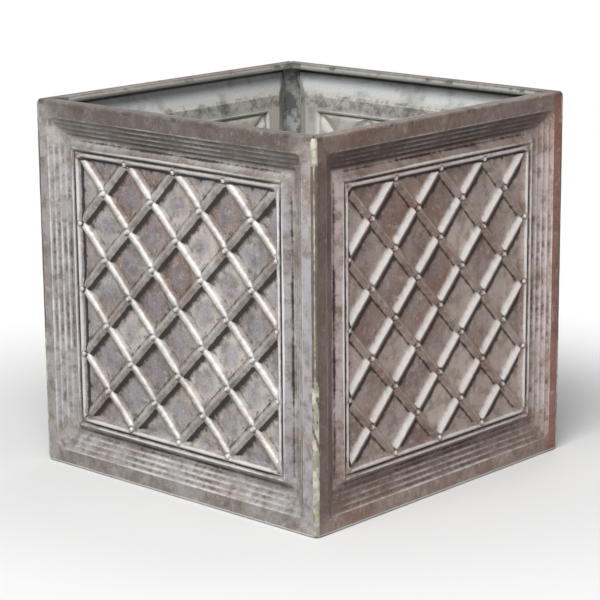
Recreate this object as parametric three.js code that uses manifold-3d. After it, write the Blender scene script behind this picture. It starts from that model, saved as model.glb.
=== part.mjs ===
// Square open planter of pressed sheet metal with a lattice stamped into every wall.
// Millimetres, +Z up. Origin: centre of the footprint, on the ground. Front is -Y.
import * as THREE from 'three';
import { mergeVertices } from 'three/addons/utils/BufferGeometryUtils.js';
import Module from 'manifold-3d';

const wasm = await Module();
wasm.setup();

// overall
const WIDTH = 400;              // across two opposite corner seams' outer faces, both ways
const HEIGHT = 400;             // ground to the top of the rim
const SHEET = 1.2;              // sheet thickness of walls, corner plates and base
const GAP = 0.3;                // clearance between neighbouring pieces

// corner seams
const SEAM_R = 4;               // reach of the seam along each wall
const SEAM_PROUD = 0.3;         // how far its round face stands out of the walls
const SEAM_LIFT = 1;            // seam's lower end above the ground

// rim and foot, folded from the wall sheet
const FOLD_R = 2.4;             // outer radius of every fold
const RIM_REACH = 16;           // rim flange, from the wall's outer face inward
const LIP_DROP = 6.5;           // turned-down lip below the rim's top
const FOOT_REACH = 24;          // foot flange, from the wall's outer face inward
const FOLD_LAP = 4;             // how far a folded strip laps down or up the flat border

// coffer moulding, counted from the wall's outline inward
const BORDER = 17.5;            // flat border
const BORDER_CORNER = 9;        // corner radius where the border ends
const LEAST_CORNER = 0.8;       // corner radius of the sharpest mouldings
const STEPS = 4;                // risers down into the coffer
const RISER_RUN = 2.2;          // slope of one riser, measured across
const RISER_DROP = 3;           // and its depth
const TREAD_RUN = 3.2;          // nearly flat tread between two risers
const TREAD_DROP = 0.3;
const GROOVE_RUN = 5;           // flat floor at the foot of the steps

// double bead round the lattice
const BEAD_SLOPE = 6;           // outer slope, measured across
const BEAD_RISE = 6.8;          // and its height above the groove
const BEAD_CROWN = 2.6;         // width of the crowned top
const BEAD_ROUND = 0.6;         // height of that crown
const QUIRK_RUN = 2;            // half width of the hollow between the two beads
const QUIRK_DEPTH = 1.7;
const INNER_CROWN = 1.8;        // width of the inner bead's top
const FIELD_SLOPE = 3.6;        // fall from the inner bead to the field
const FIELD_DEPTH = 12;         // field below the wall's outer face

// lattice
const DIAMONDS = 4;             // diamonds across and up the field
const BAR_BASE = 10.4;          // bar width where it leaves the field
const BAR_HEIGHT = 5.4;         // crest above the field
const STUD_D = 5.2;             // round stud on every crossing
const STUD_RISE = 1.7;          // stud above the crests
const STUD_SIDES = 6;

// inner corner plates
const PLATE_TAB_END = 16;       // outer edge of a tab, from the next wall's outer face
const PLATE_BEND = 10.5;        // where the tab turns into the diagonal web

// base pan
const PAN_EASE = 0.6;           // room between the pan and the stamped walls
const PAN_EDGE = 14;            // height of the turned-up edge
const PAN_CORNER = 12;          // plan radius of the pan's corners
const HOLE_D = 14;              // drain holes
const HOLE_OFF = 95;            // outer holes from the centre, both ways

const LEAD = { color: 0x938d86, roughness: 0.55, metalness: 0.35 };
const SOLDER = { color: 0xc9c4b4, roughness: 0.5, metalness: 0.45 };
const ZINC = { color: 0xa9aaa6, roughness: 0.6, metalness: 0.4 };
const PAN = { color: 0x8b8a86, roughness: 0.65, metalness: 0.4 };

// derived
const HALF = WIDTH / 2 - SEAM_PROUD;            // a wall's outer face from the axis
const COFFER = STEPS * RISER_DROP + (STEPS - 1) * TREAD_DROP;
const STEPS_END = BORDER + STEPS * RISER_RUN + (STEPS - 1) * TREAD_RUN;
const BEAD_FOOT = STEPS_END + GROOVE_RUN;
const BEAD_TOP = COFFER - BEAD_RISE;            // depth of the beads' shoulders
const FIELD_EDGE = BEAD_FOOT + BEAD_SLOPE + BEAD_CROWN + 2 * QUIRK_RUN + INNER_CROWN;
const LATTICE_EDGE = FIELD_EDGE + FIELD_SLOPE / 2;  // where the bars' centre lines end
const BACKING = Math.max(COFFER, FIELD_DEPTH) + 4 * SHEET;

// ---------- solids ----------

function solidOf(geometry) {
  const plain = geometry.clone();
  plain.deleteAttribute('normal');
  plain.deleteAttribute('uv');
  const merged = mergeVertices(plain, 1e-4);
  return new wasm.Manifold(new wasm.Mesh({
    numProp: 3,
    vertProperties: Float32Array.from(merged.attributes.position.array),
    triVerts: Uint32Array.from(merged.index.array),
  }));
}

function geometryOf(solid) {
  const { numProp, vertProperties, triVerts } = solid.getMesh();
  const geometry = new THREE.BufferGeometry();
  const position = new THREE.InterleavedBuffer(vertProperties, numProp);
  geometry.setAttribute('position', new THREE.InterleavedBufferAttribute(position, 3, 0));
  geometry.setIndex([...triVerts]);
  return geometry;
}

// Four rounded corners, counter-clockwise, three points each.
function roundedLoop({ halfX, halfY, radius, level }) {
  const points = [];
  for (let corner = 0; corner < 4; corner++) {
    const sx = corner === 0 || corner === 3 ? 1 : -1;
    const sy = corner < 2 ? 1 : -1;
    for (let step = 0; step < 3; step++) {
      const angle = (corner + step / 2) * Math.PI / 2;
      points.push(new THREE.Vector3(
        sx * (halfX - radius) + radius * Math.cos(angle),
        sy * (halfY - radius) + radius * Math.sin(angle),
        level,
      ));
    }
  }
  return points;
}

// Closed body skinned over a run of such loops, capped on the first (down) and the last (up).
function loopedSolid(loops) {
  const rings = loops.map(roundedLoop);
  const count = rings[0].length;
  const index = [];
  for (let i = 1; i < count - 1; i++) index.push(0, i + 1, i);
  for (let ring = 0; ring < rings.length - 1; ring++) {
    for (let i = 0; i < count; i++) {
      const a = ring * count + i, b = ring * count + (i + 1) % count;
      index.push(a, b, b + count, a, b + count, a + count);
    }
  }
  const last = (rings.length - 1) * count;
  for (let i = 1; i < count - 1; i++) index.push(last, last + i, last + i + 1);
  const geometry = new THREE.BufferGeometry().setFromPoints(rings.flat());
  geometry.setIndex(index);
  return solidOf(geometry);
}

// ---------- the stamped panel ----------

// The moulding's section: [distance from the wall's outline, depth below its outer face].
function mouldingSection() {
  const section = [];
  let inset = BORDER, depth = 0;
  const go = (run, drop) => section.push([inset += run, depth += drop]);
  section.push([inset, depth]);
  for (let step = 0; step < STEPS; step++) {
    go(RISER_RUN, RISER_DROP);
    if (step < STEPS - 1) go(TREAD_RUN, TREAD_DROP);
  }
  go(GROOVE_RUN, 0);
  go(BEAD_SLOPE, -BEAD_RISE);
  go(BEAD_CROWN / 2, -BEAD_ROUND);
  go(BEAD_CROWN / 2, BEAD_ROUND);
  go(QUIRK_RUN, QUIRK_DEPTH);
  go(QUIRK_RUN, -QUIRK_DEPTH);
  go(INNER_CROWN, 0);
  go(FIELD_SLOPE, FIELD_DEPTH - BEAD_TOP);
  return section;
}

// Everything that lies behind the stamped face, as one block; spare widens its flat border.
function stampedBlock(spare) {
  const edge = {
    halfX: HALF + spare,
    halfY: HEIGHT / 2 - FOLD_R + spare,
    radius: LEAST_CORNER,
  };
  const loops = mouldingSection().map(([inset, depth]) => ({
    halfX: HALF - inset,
    halfY: HEIGHT / 2 - inset,
    radius: Math.max(LEAST_CORNER, BORDER_CORNER + BORDER - inset),
    level: -depth,
  }));
  return loopedSolid([{ ...edge, level: -BACKING }, { ...edge, level: 0 }, ...loops]);
}

// Bars run corner to corner of the field's cells both ways, and stop under the inner bead.
function latticeBars(cellX, cellY) {
  const length = 2 * DIAMONDS * Math.hypot(cellX, cellY);
  const section = new THREE.Shape([
    new THREE.Vector2(-BAR_BASE / 2, 0),
    new THREE.Vector2(BAR_BASE / 2, 0),
    new THREE.Vector2(0, BAR_HEIGHT),
  ]);
  const bar = new THREE.ExtrudeGeometry(section, { depth: length, bevelEnabled: false })
    .translate(0, 0, -length / 2)
    .rotateX(Math.PI / 2);
  const lean = Math.atan2(cellX, cellY);
  let bars = null;
  for (const side of [-1, 1]) {
    for (let k = 1 - DIAMONDS; k < DIAMONDS; k++) {
      const placed = bar.clone().rotateZ(side * lean)
        .translate(k * cellX, 0, -FIELD_DEPTH);
      bars = bars ? bars.add(solidOf(placed)) : solidOf(placed);
    }
  }
  const bury = FIELD_SLOPE + INNER_CROWN;
  const field = new THREE.BoxGeometry(
    DIAMONDS * cellX + bury, DIAMONDS * cellY + bury, 4 * FIELD_DEPTH);
  return bars.intersect(solidOf(field));
}

// A low dome on every crossing; its foot goes down into the bars.
function latticeStuds(cellX, cellY) {
  const radius = STUD_D / 2;
  const crest = BAR_HEIGHT - FIELD_DEPTH;
  const dome = new THREE.LatheGeometry([
    new THREE.Vector2(0, crest - radius),
    new THREE.Vector2(radius, crest - radius),
    new THREE.Vector2(radius, crest + STUD_RISE * 0.3),
    new THREE.Vector2(radius * 0.6, crest + STUD_RISE * 0.85),
    new THREE.Vector2(0, crest + STUD_RISE),
  ], STUD_SIDES).rotateX(Math.PI / 2);
  let studs = null;
  for (let row = 1 - DIAMONDS; row < DIAMONDS; row++) {
    for (let column = 1 - DIAMONDS; column < DIAMONDS; column++) {
      if ((row + column) % 2) continue;
      const placed = dome.clone().translate(column * cellX / 2, row * cellY / 2, 0);
      studs = studs ? studs.add(solidOf(placed)) : solidOf(placed);
    }
  }
  return studs;
}

// The stamped block less the same block set back by the sheet: a pressed sheet whose inner
// face is the negative of its outer face. Outer face at z = 0, looking up.
function stampedSheet() {
  const cellX = 2 * (HALF - LATTICE_EDGE) / DIAMONDS;
  const cellY = (HEIGHT - 2 * LATTICE_EDGE) / DIAMONDS;
  const bars = latticeBars(cellX, cellY);
  const face = stampedBlock(0).add(bars).add(latticeStuds(cellX, cellY));
  const back = stampedBlock(SHEET).add(bars).translate([0, 0, -SHEET]);
  return face.subtract(back);
}

// ---------- folded edges ----------

// Rounds the inner corners of an open path of right angles.
function eased(path, radius) {
  const points = [path[0]];
  for (let i = 1; i < path.length - 1; i++) {
    const before = path[i - 1].clone().sub(path[i]).setLength(radius);
    const after = path[i + 1].clone().sub(path[i]).setLength(radius);
    const centre = path[i].clone().add(before).add(after);
    for (const t of [0, 1 / 3, 2 / 3, 1]) {
      const swing = t * Math.PI / 2;
      points.push(centre.clone()
        .addScaledVector(after, -Math.cos(swing)).addScaledVector(before, -Math.sin(swing)));
    }
  }
  points.push(path[path.length - 1]);
  return points;
}

// Strip of sheet folded along the outer path, its thickness to the inside, as long as the wall.
// Paths are drawn as (depth, height).
function foldedStrip(outer, inner) {
  const outline = [...eased(outer, FOLD_R), ...eased(inner, FOLD_R - SHEET).reverse()];
  const strip = new THREE.ExtrudeGeometry(new THREE.Shape(outline),
    { depth: 2 * HALF, bevelEnabled: false });
  strip.applyMatrix4(new THREE.Matrix4().makeBasis(
    new THREE.Vector3(0, 1, 0), new THREE.Vector3(0, 0, 1), new THREE.Vector3(1, 0, 0)));
  return solidOf(strip.translate(-HALF, -HALF, 0));
}

function rimStrip() {
  const start = HEIGHT - FOLD_R - FOLD_LAP;
  return foldedStrip([
    new THREE.Vector2(0, start),
    new THREE.Vector2(0, HEIGHT),
    new THREE.Vector2(RIM_REACH, HEIGHT),
    new THREE.Vector2(RIM_REACH, HEIGHT - LIP_DROP),
  ], [
    new THREE.Vector2(SHEET, start),
    new THREE.Vector2(SHEET, HEIGHT - SHEET),
    new THREE.Vector2(RIM_REACH - SHEET, HEIGHT - SHEET),
    new THREE.Vector2(RIM_REACH - SHEET, HEIGHT - LIP_DROP),
  ]);
}

function footStrip() {
  const start = FOLD_R + FOLD_LAP;
  return foldedStrip([
    new THREE.Vector2(0, start),
    new THREE.Vector2(0, 0),
    new THREE.Vector2(FOOT_REACH, 0),
  ], [
    new THREE.Vector2(SHEET, start),
    new THREE.Vector2(SHEET, SHEET),
    new THREE.Vector2(FOOT_REACH, SHEET),
  ]);
}

// What one wall may fill in plan: square ends beside the seams, then mitres to its neighbours.
function wallPlan() {
  const reach = Math.max(RIM_REACH, FOOT_REACH) + GAP;
  const end = HALF - SEAM_R - GAP;
  const turn = SEAM_R + GAP * (1 - Math.SQRT1_2);
  const mitred = HALF - reach - GAP * Math.SQRT1_2;
  const plan = new THREE.Shape([
    new THREE.Vector2(-end, -GAP),
    new THREE.Vector2(end, -GAP),
    new THREE.Vector2(end, turn),
    new THREE.Vector2(mitred, reach),
    new THREE.Vector2(-mitred, reach),
    new THREE.Vector2(-end, turn),
  ]);
  const block = new THREE.ExtrudeGeometry(plan,
    { depth: HEIGHT + 2 * GAP, bevelEnabled: false });
  return solidOf(block.translate(0, -HALF, -GAP));
}

function wallGeometry() {
  const sheet = stampedSheet().rotate([90, 0, 0]).translate([0, -HALF, HEIGHT / 2]);
  return geometryOf(sheet.add(rimStrip()).add(footStrip()).intersect(wallPlan()));
}

// ---------- corner pieces and base ----------

// Quarter-round seam between two walls' square ends; drawn for the front right corner.
function seamGeometry() {
  const radius = SEAM_R + SEAM_PROUD;
  const section = new THREE.Shape();
  section.moveTo(0, 0);
  section.lineTo(0, -radius);
  section.absarc(0, 0, radius, -Math.PI / 2, 0, false);
  return new THREE.ExtrudeGeometry(section,
    { depth: HEIGHT - SEAM_LIFT, bevelEnabled: false, curveSegments: 6 })
    .translate(HALF - SEAM_R, SEAM_R - HALF, SEAM_LIFT);
}

// Folded strip across the inside corner: a tab on each wall and a diagonal web between them.
function cornerPlateGeometry() {
  const seat = SHEET + GAP;
  const knee = PLATE_BEND + SHEET * (Math.SQRT2 - 1);
  const outline = [
    [seat, PLATE_TAB_END], [seat, PLATE_BEND], [PLATE_BEND, seat], [PLATE_TAB_END, seat],
    [PLATE_TAB_END, seat + SHEET], [knee, seat + SHEET],
    [seat + SHEET, knee], [seat + SHEET, PLATE_TAB_END],
  ].map(([fromSide, fromFront]) => new THREE.Vector2(HALF - fromSide, fromFront - HALF));
  const foot = FOLD_R + GAP;
  return new THREE.ExtrudeGeometry(new THREE.Shape(outline),
    { depth: HEIGHT - 2 * foot, bevelEnabled: false }).translate(0, 0, foot);
}

// Pan with rounded, turned-up edges and drain holes; it lies on the foot flanges.
function basePanGeometry() {
  const half = HALF - SHEET - Math.max(COFFER, FIELD_DEPTH) - PAN_EASE;
  const floor = SHEET + GAP;
  const loop = (inset, level) => ({
    halfX: half - inset, halfY: half - inset, radius: PAN_CORNER - inset, level,
  });
  let pan = loopedSolid([
    loop(FOLD_R, floor), loop(0.3 * FOLD_R, floor + 0.3 * FOLD_R), loop(0, floor + FOLD_R),
    loop(0, floor + PAN_EDGE), loop(SHEET, floor + PAN_EDGE),
    loop(SHEET, floor + FOLD_R), loop(FOLD_R, floor + SHEET),
  ]);
  const drill = new THREE.CylinderGeometry(HOLE_D / 2, HOLE_D / 2, 4 * SHEET, 20)
    .rotateX(Math.PI / 2).translate(0, 0, floor);
  for (const [x, y] of [[0, 0], [1, 1], [-1, 1], [-1, -1], [1, -1]]) {
    pan = pan.subtract(solidOf(drill.clone().translate(x * HOLE_OFF, y * HOLE_OFF, 0)));
  }
  return geometryOf(pan);
}

// ---------- assembly ----------

const planter = new THREE.Group();
const place = (name, geometry, look, quarterTurns = 0) => {
  const mesh = new THREE.Mesh(geometry, new THREE.MeshStandardMaterial(look));
  mesh.name = name;
  mesh.rotation.z = quarterTurns * Math.PI / 2;
  planter.add(mesh);
};

const wall = wallGeometry();
const seam = seamGeometry();
const cornerPlate = cornerPlateGeometry();
['front', 'right', 'back', 'left'].forEach((side, turns) => {
  place(`wall_${side}`, wall, LEAD, turns);
});
['front_right', 'back_right', 'back_left', 'front_left'].forEach((corner, turns) => {
  place(`seam_${corner}`, seam, SOLDER, turns);
  place(`corner_plate_${corner}`, cornerPlate, ZINC, turns);
});
place('base_pan', basePanGeometry(), PAN);

export default planter;
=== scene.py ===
# %% [markdown]
# # A square planter of pressed sheet metal
#
# The real planter is a box of four pressed walls. Each wall is one sheet with a stepped
# coffer, a double bead and a lattice stamped into it, folded over at the rim and under at
# the foot. Cream solder closes the corners, folded plates stiffen them inside, and a
# shallow pan with drain holes is the floor. This lesson dresses the CAD model of that box.
# All pieces are surfaces worked out with numpy, so each shape is a formula on a grid.

# %% Load the CAD model
from math import cos, pi, radians, sin

import bpy
import numpy as np
from mathutils import Matrix, Vector


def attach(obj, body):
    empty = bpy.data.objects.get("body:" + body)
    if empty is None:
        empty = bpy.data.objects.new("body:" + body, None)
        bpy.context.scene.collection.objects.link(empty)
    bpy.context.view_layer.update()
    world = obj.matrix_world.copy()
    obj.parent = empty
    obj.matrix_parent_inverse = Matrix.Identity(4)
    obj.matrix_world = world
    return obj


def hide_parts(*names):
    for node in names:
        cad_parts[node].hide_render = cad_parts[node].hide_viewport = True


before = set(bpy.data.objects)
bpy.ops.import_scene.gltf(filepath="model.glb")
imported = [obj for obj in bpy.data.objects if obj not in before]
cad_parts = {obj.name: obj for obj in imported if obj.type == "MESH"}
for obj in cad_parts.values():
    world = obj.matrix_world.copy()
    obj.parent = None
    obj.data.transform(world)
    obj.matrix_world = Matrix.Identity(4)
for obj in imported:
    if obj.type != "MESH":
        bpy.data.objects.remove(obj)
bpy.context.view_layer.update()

# %% [markdown]
# ## Camera
#
# The photograph was taken with a long lens, a little above the rim, looking at the corner
# between the front and the right wall. The view was worked out from the box's corners and
# the lattice's crossings: an azimuth, an elevation, a small roll and a distance. Building
# the camera's three axes from those angles keeps each of them readable, which a quaternion
# read off the viewport would not.

# %% Place the camera
AZIMUTH, ELEVATION, ROLL = radians(42.65), radians(13.57), radians(-0.479)
DISTANCE, TARGET = 2.4436, Vector((-0.0022, -0.0020, 0.1749))
FOCAL = 2242 / 600                  # focal length over picture width


def looking_from(azimuth, elevation):
    """Unit vector from the subject towards a place at that azimuth and elevation."""
    return Vector((sin(azimuth) * cos(elevation), -cos(azimuth) * cos(elevation),
                   sin(elevation)))


def aimed(location, back, roll=0.0):
    """Matrix of a thing at `location` that faces against `back`: its x axis is level, its
    y axis completes the pair, and both are then turned by `roll` about `back`."""
    right = Vector((-back.y, back.x, 0)).normalized()
    up = back.cross(right)
    turned = (cos(roll) * right + sin(roll) * up, cos(roll) * up - sin(roll) * right)
    axes = Matrix((*turned, back)).transposed().to_4x4()
    return Matrix.Translation(location) @ axes


def linked(name, data):
    """A new object of that data, in the scene."""
    made = bpy.data.objects.new(name, data)
    bpy.context.scene.collection.objects.link(made)
    return made


camera = linked("camera", bpy.data.cameras.new("camera"))
camera.data.sensor_width = 36.0
camera.data.lens = 36.0 * FOCAL
back = looking_from(AZIMUTH, ELEVATION)
camera.matrix_world = aimed(TARGET + DISTANCE * back, back, ROLL)
bpy.context.scene.camera = camera
bpy.context.scene.view_settings.view_transform = "Standard"
print("camera at", tuple(round(v, 3) for v in camera.matrix_world.translation),
      "lens", round(camera.data.lens, 1), "mm")

# %% [markdown]
# ## Light
#
# One broad softbox does nearly all the work. It hangs between the front and the camera, at
# 45 degrees: the slopes that face up and to the front shine, those that face away are
# nearly black, and the front wall is lighter than the right one. A weak lamp at the side
# lifts the right wall's edges, and one behind keeps the far walls readable from the back.
# The world only fills the shade a little, because a strong fill would flatten the stamping.
# A sun lamp would cut the shadows too hard for such a picture.

# %% Softboxes and world


def softbox(name, azimuth, elevation, distance, size, power):
    """An area light that looks at the planter's middle from that direction."""
    lamp = bpy.data.lights.new(name, "AREA")
    lamp.shape, lamp.size, lamp.energy = "SQUARE", size, power
    away = looking_from(radians(azimuth), radians(elevation))
    linked(name, lamp).matrix_world = aimed(Vector((0, 0, 0.2)) + distance * away, away)


softbox("key", azimuth=24, elevation=46, distance=2.6, size=1.7, power=89)
softbox("side", azimuth=84, elevation=42, distance=2.6, size=1.2, power=5)
softbox("rear", azimuth=195, elevation=58, distance=2.6, size=1.7, power=14)


def wire(tree, source, target):
    """Joins two sockets."""
    tree.links.new(source, target)


def fill(tree, socket, value):
    """Gives an input its value. Another node's output is joined to it."""
    if isinstance(value, bpy.types.NodeSocket):
        wire(tree, value, socket)
    else:
        socket.default_value = value


def add(tree, kind, values=(), **settings):
    """Adds a node, sets its properties, and fills its inputs. `values` is a dict of input
    name or number."""
    made = tree.nodes.new(kind)
    for key, value in settings.items():
        setattr(made, key, value)
    for key, value in dict(values).items():
        fill(tree, made.inputs[key], value)
    return made


world = bpy.data.worlds.new("studio")
bpy.context.scene.world = world
world.use_nodes = True
sky = world.node_tree
sky.nodes.clear()
ray = add(sky, "ShaderNodeLightPath")
seen = add(sky, "ShaderNodeMath", {0: ray.outputs["Is Camera Ray"],
                                   1: ray.outputs["Is Transmission Ray"]},
           operation="MAXIMUM")
seen = add(sky, "ShaderNodeMath", {0: seen.outputs[0], 1: ray.outputs["Is Glossy Ray"]},
           operation="MAXIMUM")
dim = add(sky, "ShaderNodeBackground", {"Color": (1, 1, 1, 1), "Strength": 0.14})
white = add(sky, "ShaderNodeBackground", {"Color": (1, 1, 1, 1), "Strength": 1.0})
both = add(sky, "ShaderNodeMixShader", {0: seen.outputs[0], 1: dim.outputs[0],
                                        2: white.outputs[0]})
wire(sky, both.outputs[0], add(sky, "ShaderNodeOutputWorld").inputs["Surface"])

# %% [markdown]
# ## Measures
#
# All sizes are in millimetres and are the CAD model's. The walls are drawn lying open: x
# runs along the wall, z up it, and the depth is counted from its outer face into the box.

# %% The planter's measures
HALF, HEIGHT, SHEET, GAP = 199.7, 400.0, 1.2, 0.3
SEAM_R, SEAM_PROUD, SEAM_LIFT = 4.0, 0.3, 1.0
FOLD_R, RIM_REACH, LIP_DROP, FOOT_REACH = 2.4, 16.0, 6.5, 24.0
BORDER, BORDER_CORNER, LEAST_CORNER = 17.5, 9.0, 0.8
FIELD_DEPTH, LATTICE_EDGE = 12.0, 57.1
BAR_HALF, BAR_HEIGHT, STUD_R, STUD_RISE = 5.3, 5.4, 2.6, 1.7
DISH_R, BEADS_END = 3.5, 55.2       # dish round a stud; the inset where the beads end
DIAMONDS = 4                        # cells along a side of the lattice
WALL_END = HALF - SEAM_R - GAP      # half of a wall's width


def softened(path, reach, cuts):
    """Rounds the inner corners of a path. Each corner c gives way to the curve
    (1-t)^2 a + 2t(1-t) c + t^2 b, where a and b lie `reach` from c on its two legs."""
    path = np.asarray(path, float)
    a, c, b = path[:-2], path[1:-1], path[2:]
    legs = [p - c for p in (a, b)]
    spans = [np.linalg.norm(leg, axis=1, keepdims=True) for leg in legs]
    a, b = (c + leg / span * np.minimum(reach, 0.45 * span) for leg, span in zip(legs, spans))
    t = np.linspace(0, 1, cuts + 1)[None, :, None]
    curves = (1 - t) ** 2 * a[:, None] + 2 * t * (1 - t) * c[:, None] + t ** 2 * b[:, None]
    return np.vstack([path[:1], curves.reshape(-1, path.shape[1]), path[-1:]])


STEP, TREAD = (2.2, 3.0), (3.2, 0.3)
legs = [STEP, TREAD] * 3 + [STEP, (5.0, 0.0)]               # four risers and the groove
legs += [(6.0, -6.8), (1.3, -0.6), (1.3, 0.6), (2.0, 1.7)]    # main bead and the quirk
legs += [(2.0, -1.7), (1.8, 0.0), (3.6, 5.9)]                # inner bead down to the field
corners = np.vstack([(0, 0), (BORDER, 0), (BORDER, 0) + np.cumsum(legs, axis=0)])
section = softened(corners, reach=0.7, cuts=2)
between_folds = np.array([1.0, 2.6, 9.0, 16.0, 38.4, 43.0, 45.0, 57.2])    # more rings here
insets = np.sort(np.concatenate([section[:, 0], between_folds]))
section = np.stack([insets, np.interp(insets, *section.T)], axis=1)
print("moulding section:", len(section), "points, from inset", section[0], "to", section[-1])

# %% [markdown]
# ## The pressed wall: its grid
#
# A lattice of diagonal bars looks jagged on an upright grid, unless that is very fine. Here
# the field's grid is turned by 45 degrees, so its lines run along the bars. They are dense
# where the bars and the studs are and wide apart in the middle of the cells. The turned
# grid fills the field's square exactly, because its lines are spaced alike in every cell:
# the square's edge then passes through grid points only. Rings that follow the mouldings
# surround it, with as many points as the field's edge has.

# %% Lines of the turned grid
from_bar = np.array([0, 0.5, 1.1, 1.8, 2.7, 3.9, 5.1, 5.8, 6.7, 7.8, 9.6, 13.0, 18.5, 25.2])
half_cell = from_bar / from_bar[-1] / 2
cell_lines = np.concatenate([half_cell, 1 - half_cell[-2:0:-1]])   # one cell, 0 to 1
LINES = len(cell_lines)                                            # intervals in a cell
REACH = DIAMONDS * LINES                                           # index of the last line
steps = np.arange(-REACH, REACH + 1)
lines = steps // LINES + cell_lines[steps % LINES]
edge_lines = (lines[:REACH + 1] + DIAMONDS / 2) * 2 / DIAMONDS     # one side, -1 to 1


def around(first):
    """A square's four sides in turn, anticlockwise from the lower left, as across and up:
    each side leaves out its last point, which the next side begins with."""
    one = np.ones(REACH)
    first = first[:-1]
    return (np.concatenate([first, one, -first, -one]),
            np.concatenate([-one, first, one, -first]))


rim_a, rim_b = around(edge_lines)
print("lines in a cell:", LINES, "points round a ring:", len(rim_a))

# %% Where a grid point lies on the wall
CELL_X, CELL_Z = HALF - LATTICE_EDGE, HEIGHT / 2 - LATTICE_EDGE    # half the lattice's size
PITCH = np.sqrt(2) * CELL_X / DIAMONDS                             # from bar to bar
FIELD_GRIP = 30


def spread(share, half, lattice_half, grip):
    """Place of a point that is `share` (-1 to 1) of the way from the middle to the edge of
    a ring of that half size. It is the lattice's own place, share * lattice_half, plus the
    ring's difference from the lattice times |share|^grip: a high grip leaves the middle
    alone and takes up the whole difference beside the corners."""
    return share * lattice_half + np.sign(share) * (half - lattice_half) * abs(share) ** grip


def rounded(x, z, half_x, half_z, radius):
    """Bends a rectangle's points that are nearer than `radius` to a corner onto an arc of
    that radius. A point at distance s along a side goes to the angle 45 (1 - s/r) degrees
    past the corner's middle."""
    sx, sz = np.sign(x), np.sign(z)
    to_end, to_top = half_x - abs(x), half_z - abs(z)
    on_level = to_top < to_end                          # a point of the upper or lower side
    along = np.where(on_level, to_end, to_top)
    angle = pi / 4 * (1 - np.minimum(along / radius, 1))
    near, far = radius * np.sin(angle), radius * np.cos(angle)
    bent_x = half_x - radius + np.where(on_level, near, far)
    bent_z = half_z - radius + np.where(on_level, far, near)
    bend = along < radius
    return np.where(bend, sx * bent_x, x), np.where(bend, sz * bent_z, z)


# %% [markdown]
# ## The pressed wall: its relief
#
# The lattice is made of simple reliefs over one cell. The falling bars are ridges with
# straight slopes, the rising ones have hollow slopes that run far out into the cell. A
# little inside the cell's edge a fine line is pressed, and the floor swells into a soft
# pad. A stud is a dome on each crossing, with a small dish round it.

# %% Relief of the lattice


def ease(x):
    """0 below 0, 1 above 1, and 3x^2 - 2x^3 between."""
    x = np.clip(x, 0, 1)
    return x * x * (3 - 2 * x)


def cell_places(x, z):
    """A place on the wall, counted in cells. a and b count half cells along and up the wall
    from its middle, p = (a+b)/2 and q = (b-a)/2 count whole cells along the diagonals."""
    a, b = x / CELL_X * DIAMONDS, (z - HEIGHT / 2) / CELL_Z * DIAMONDS
    return a, b, (a + b) / 2, (b - a) / 2


def bar_distances(x, z):
    """Signed distances from the nearest falling bar and the nearest rising bar. A bar lies
    where p or q is whole. Between two crossings a falling bar swings out by 0.5 mm, as the
    hand-cut stamp's did: 0.5 sin^2(pi q)."""
    p, q = cell_places(x, z)[2:]
    return ((p - np.round(p)) * PITCH - 0.5 * np.sin(pi * q) ** 2,
            (q - np.round(q)) * PITCH)


def steep_ridge(distance, height, half, cove):
    """Height of a bar with straight slopes: the line r falls from `height` at the middle to
    0 at `half`, its tip rounded by 1.2 mm, and (r + sqrt(r^2 + 4 cove^2)) / 2 lets it run
    out in a soft cove."""
    line = height * (1 - (np.hypot(distance, 1.2) - 1.2) / (np.hypot(half, 1.2) - 1.2))
    return (line + np.hypot(line, 2 * cove)) / 2


def hollow_ridge(distance, height, foot):
    """Height of a bar with hollow slopes: height (1 - d/foot)^2, where d is the distance
    with its tip rounded by 0.8 mm."""
    rounded_distance = np.hypot(distance, 0.8) - 0.8
    return height * np.clip(1 - rounded_distance / foot, 0, 1) ** 2


def outside_line(s, t):
    """How far outside a cell's rounded line a place lies. The line runs 7.2 mm outside the
    cell's core, which begins 16 mm from either bar."""
    return np.hypot(np.maximum(16 - s, 0), np.maximum(16 - t, 0)) - 7.2


def lattice_relief(x, z, studded):
    """Height over the field of the stamped lattice at a place on the wall. The rising bars
    sink towards the crossings, where the falling bars run over them unbroken."""
    s, t = (abs(distance) for distance in bar_distances(x, z))
    rising = hollow_ridge(t, height=5.0, foot=13) * ease((s + 1.5) / 7.5)
    bars = np.maximum(steep_ridge(s, height=5.1, half=BAR_HALF, cove=1.2), rising)
    to_edge = np.minimum(CELL_X - abs(x), CELL_Z - abs(z - HEIGHT / 2))
    pad = 0.3 * ease(-outside_line(s, t) / 1.4) * ease((to_edge - 4) / 2)
    pad += 0.4 * np.exp(-(np.hypot(s - PITCH / 2, t - PITCH / 2) / 14) ** 2)
    relief = np.hypot(bars, pad)
    if studded:
        r = np.hypot(s, t)
        dome = BAR_HEIGHT - 0.15 + STUD_RISE * np.sqrt(np.maximum(1 - (r / STUD_R) ** 2, 0))
        relief = relief - 0.9 * np.exp(-((r - DISH_R) / 0.8) ** 2)
        relief = np.where(r < STUD_R, np.maximum(relief, dome), relief)
    return relief


# %% Points of the field and of the rings


def field_points():
    """The turned grid's points inside the field, as x and z, and their numbers on the grid
    (-1 outside)."""
    i, j = np.meshgrid(np.arange(len(lines)), np.arange(len(lines)), indexing="ij")
    inside = abs(i - REACH) + abs(j - REACH) <= REACH
    number = np.where(inside, np.cumsum(inside).reshape(inside.shape) - 1, -1)
    p, q = lines[i[inside]], lines[j[inside]]
    a, b = (p - q) / DIAMONDS, (p + q) / DIAMONDS
    inset = corners[-1, 0]
    x = spread(a, HALF - inset, CELL_X, FIELD_GRIP)
    z = spread(b, HEIGHT / 2 - inset, CELL_Z, FIELD_GRIP) + HEIGHT / 2
    return x, z, number


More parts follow.
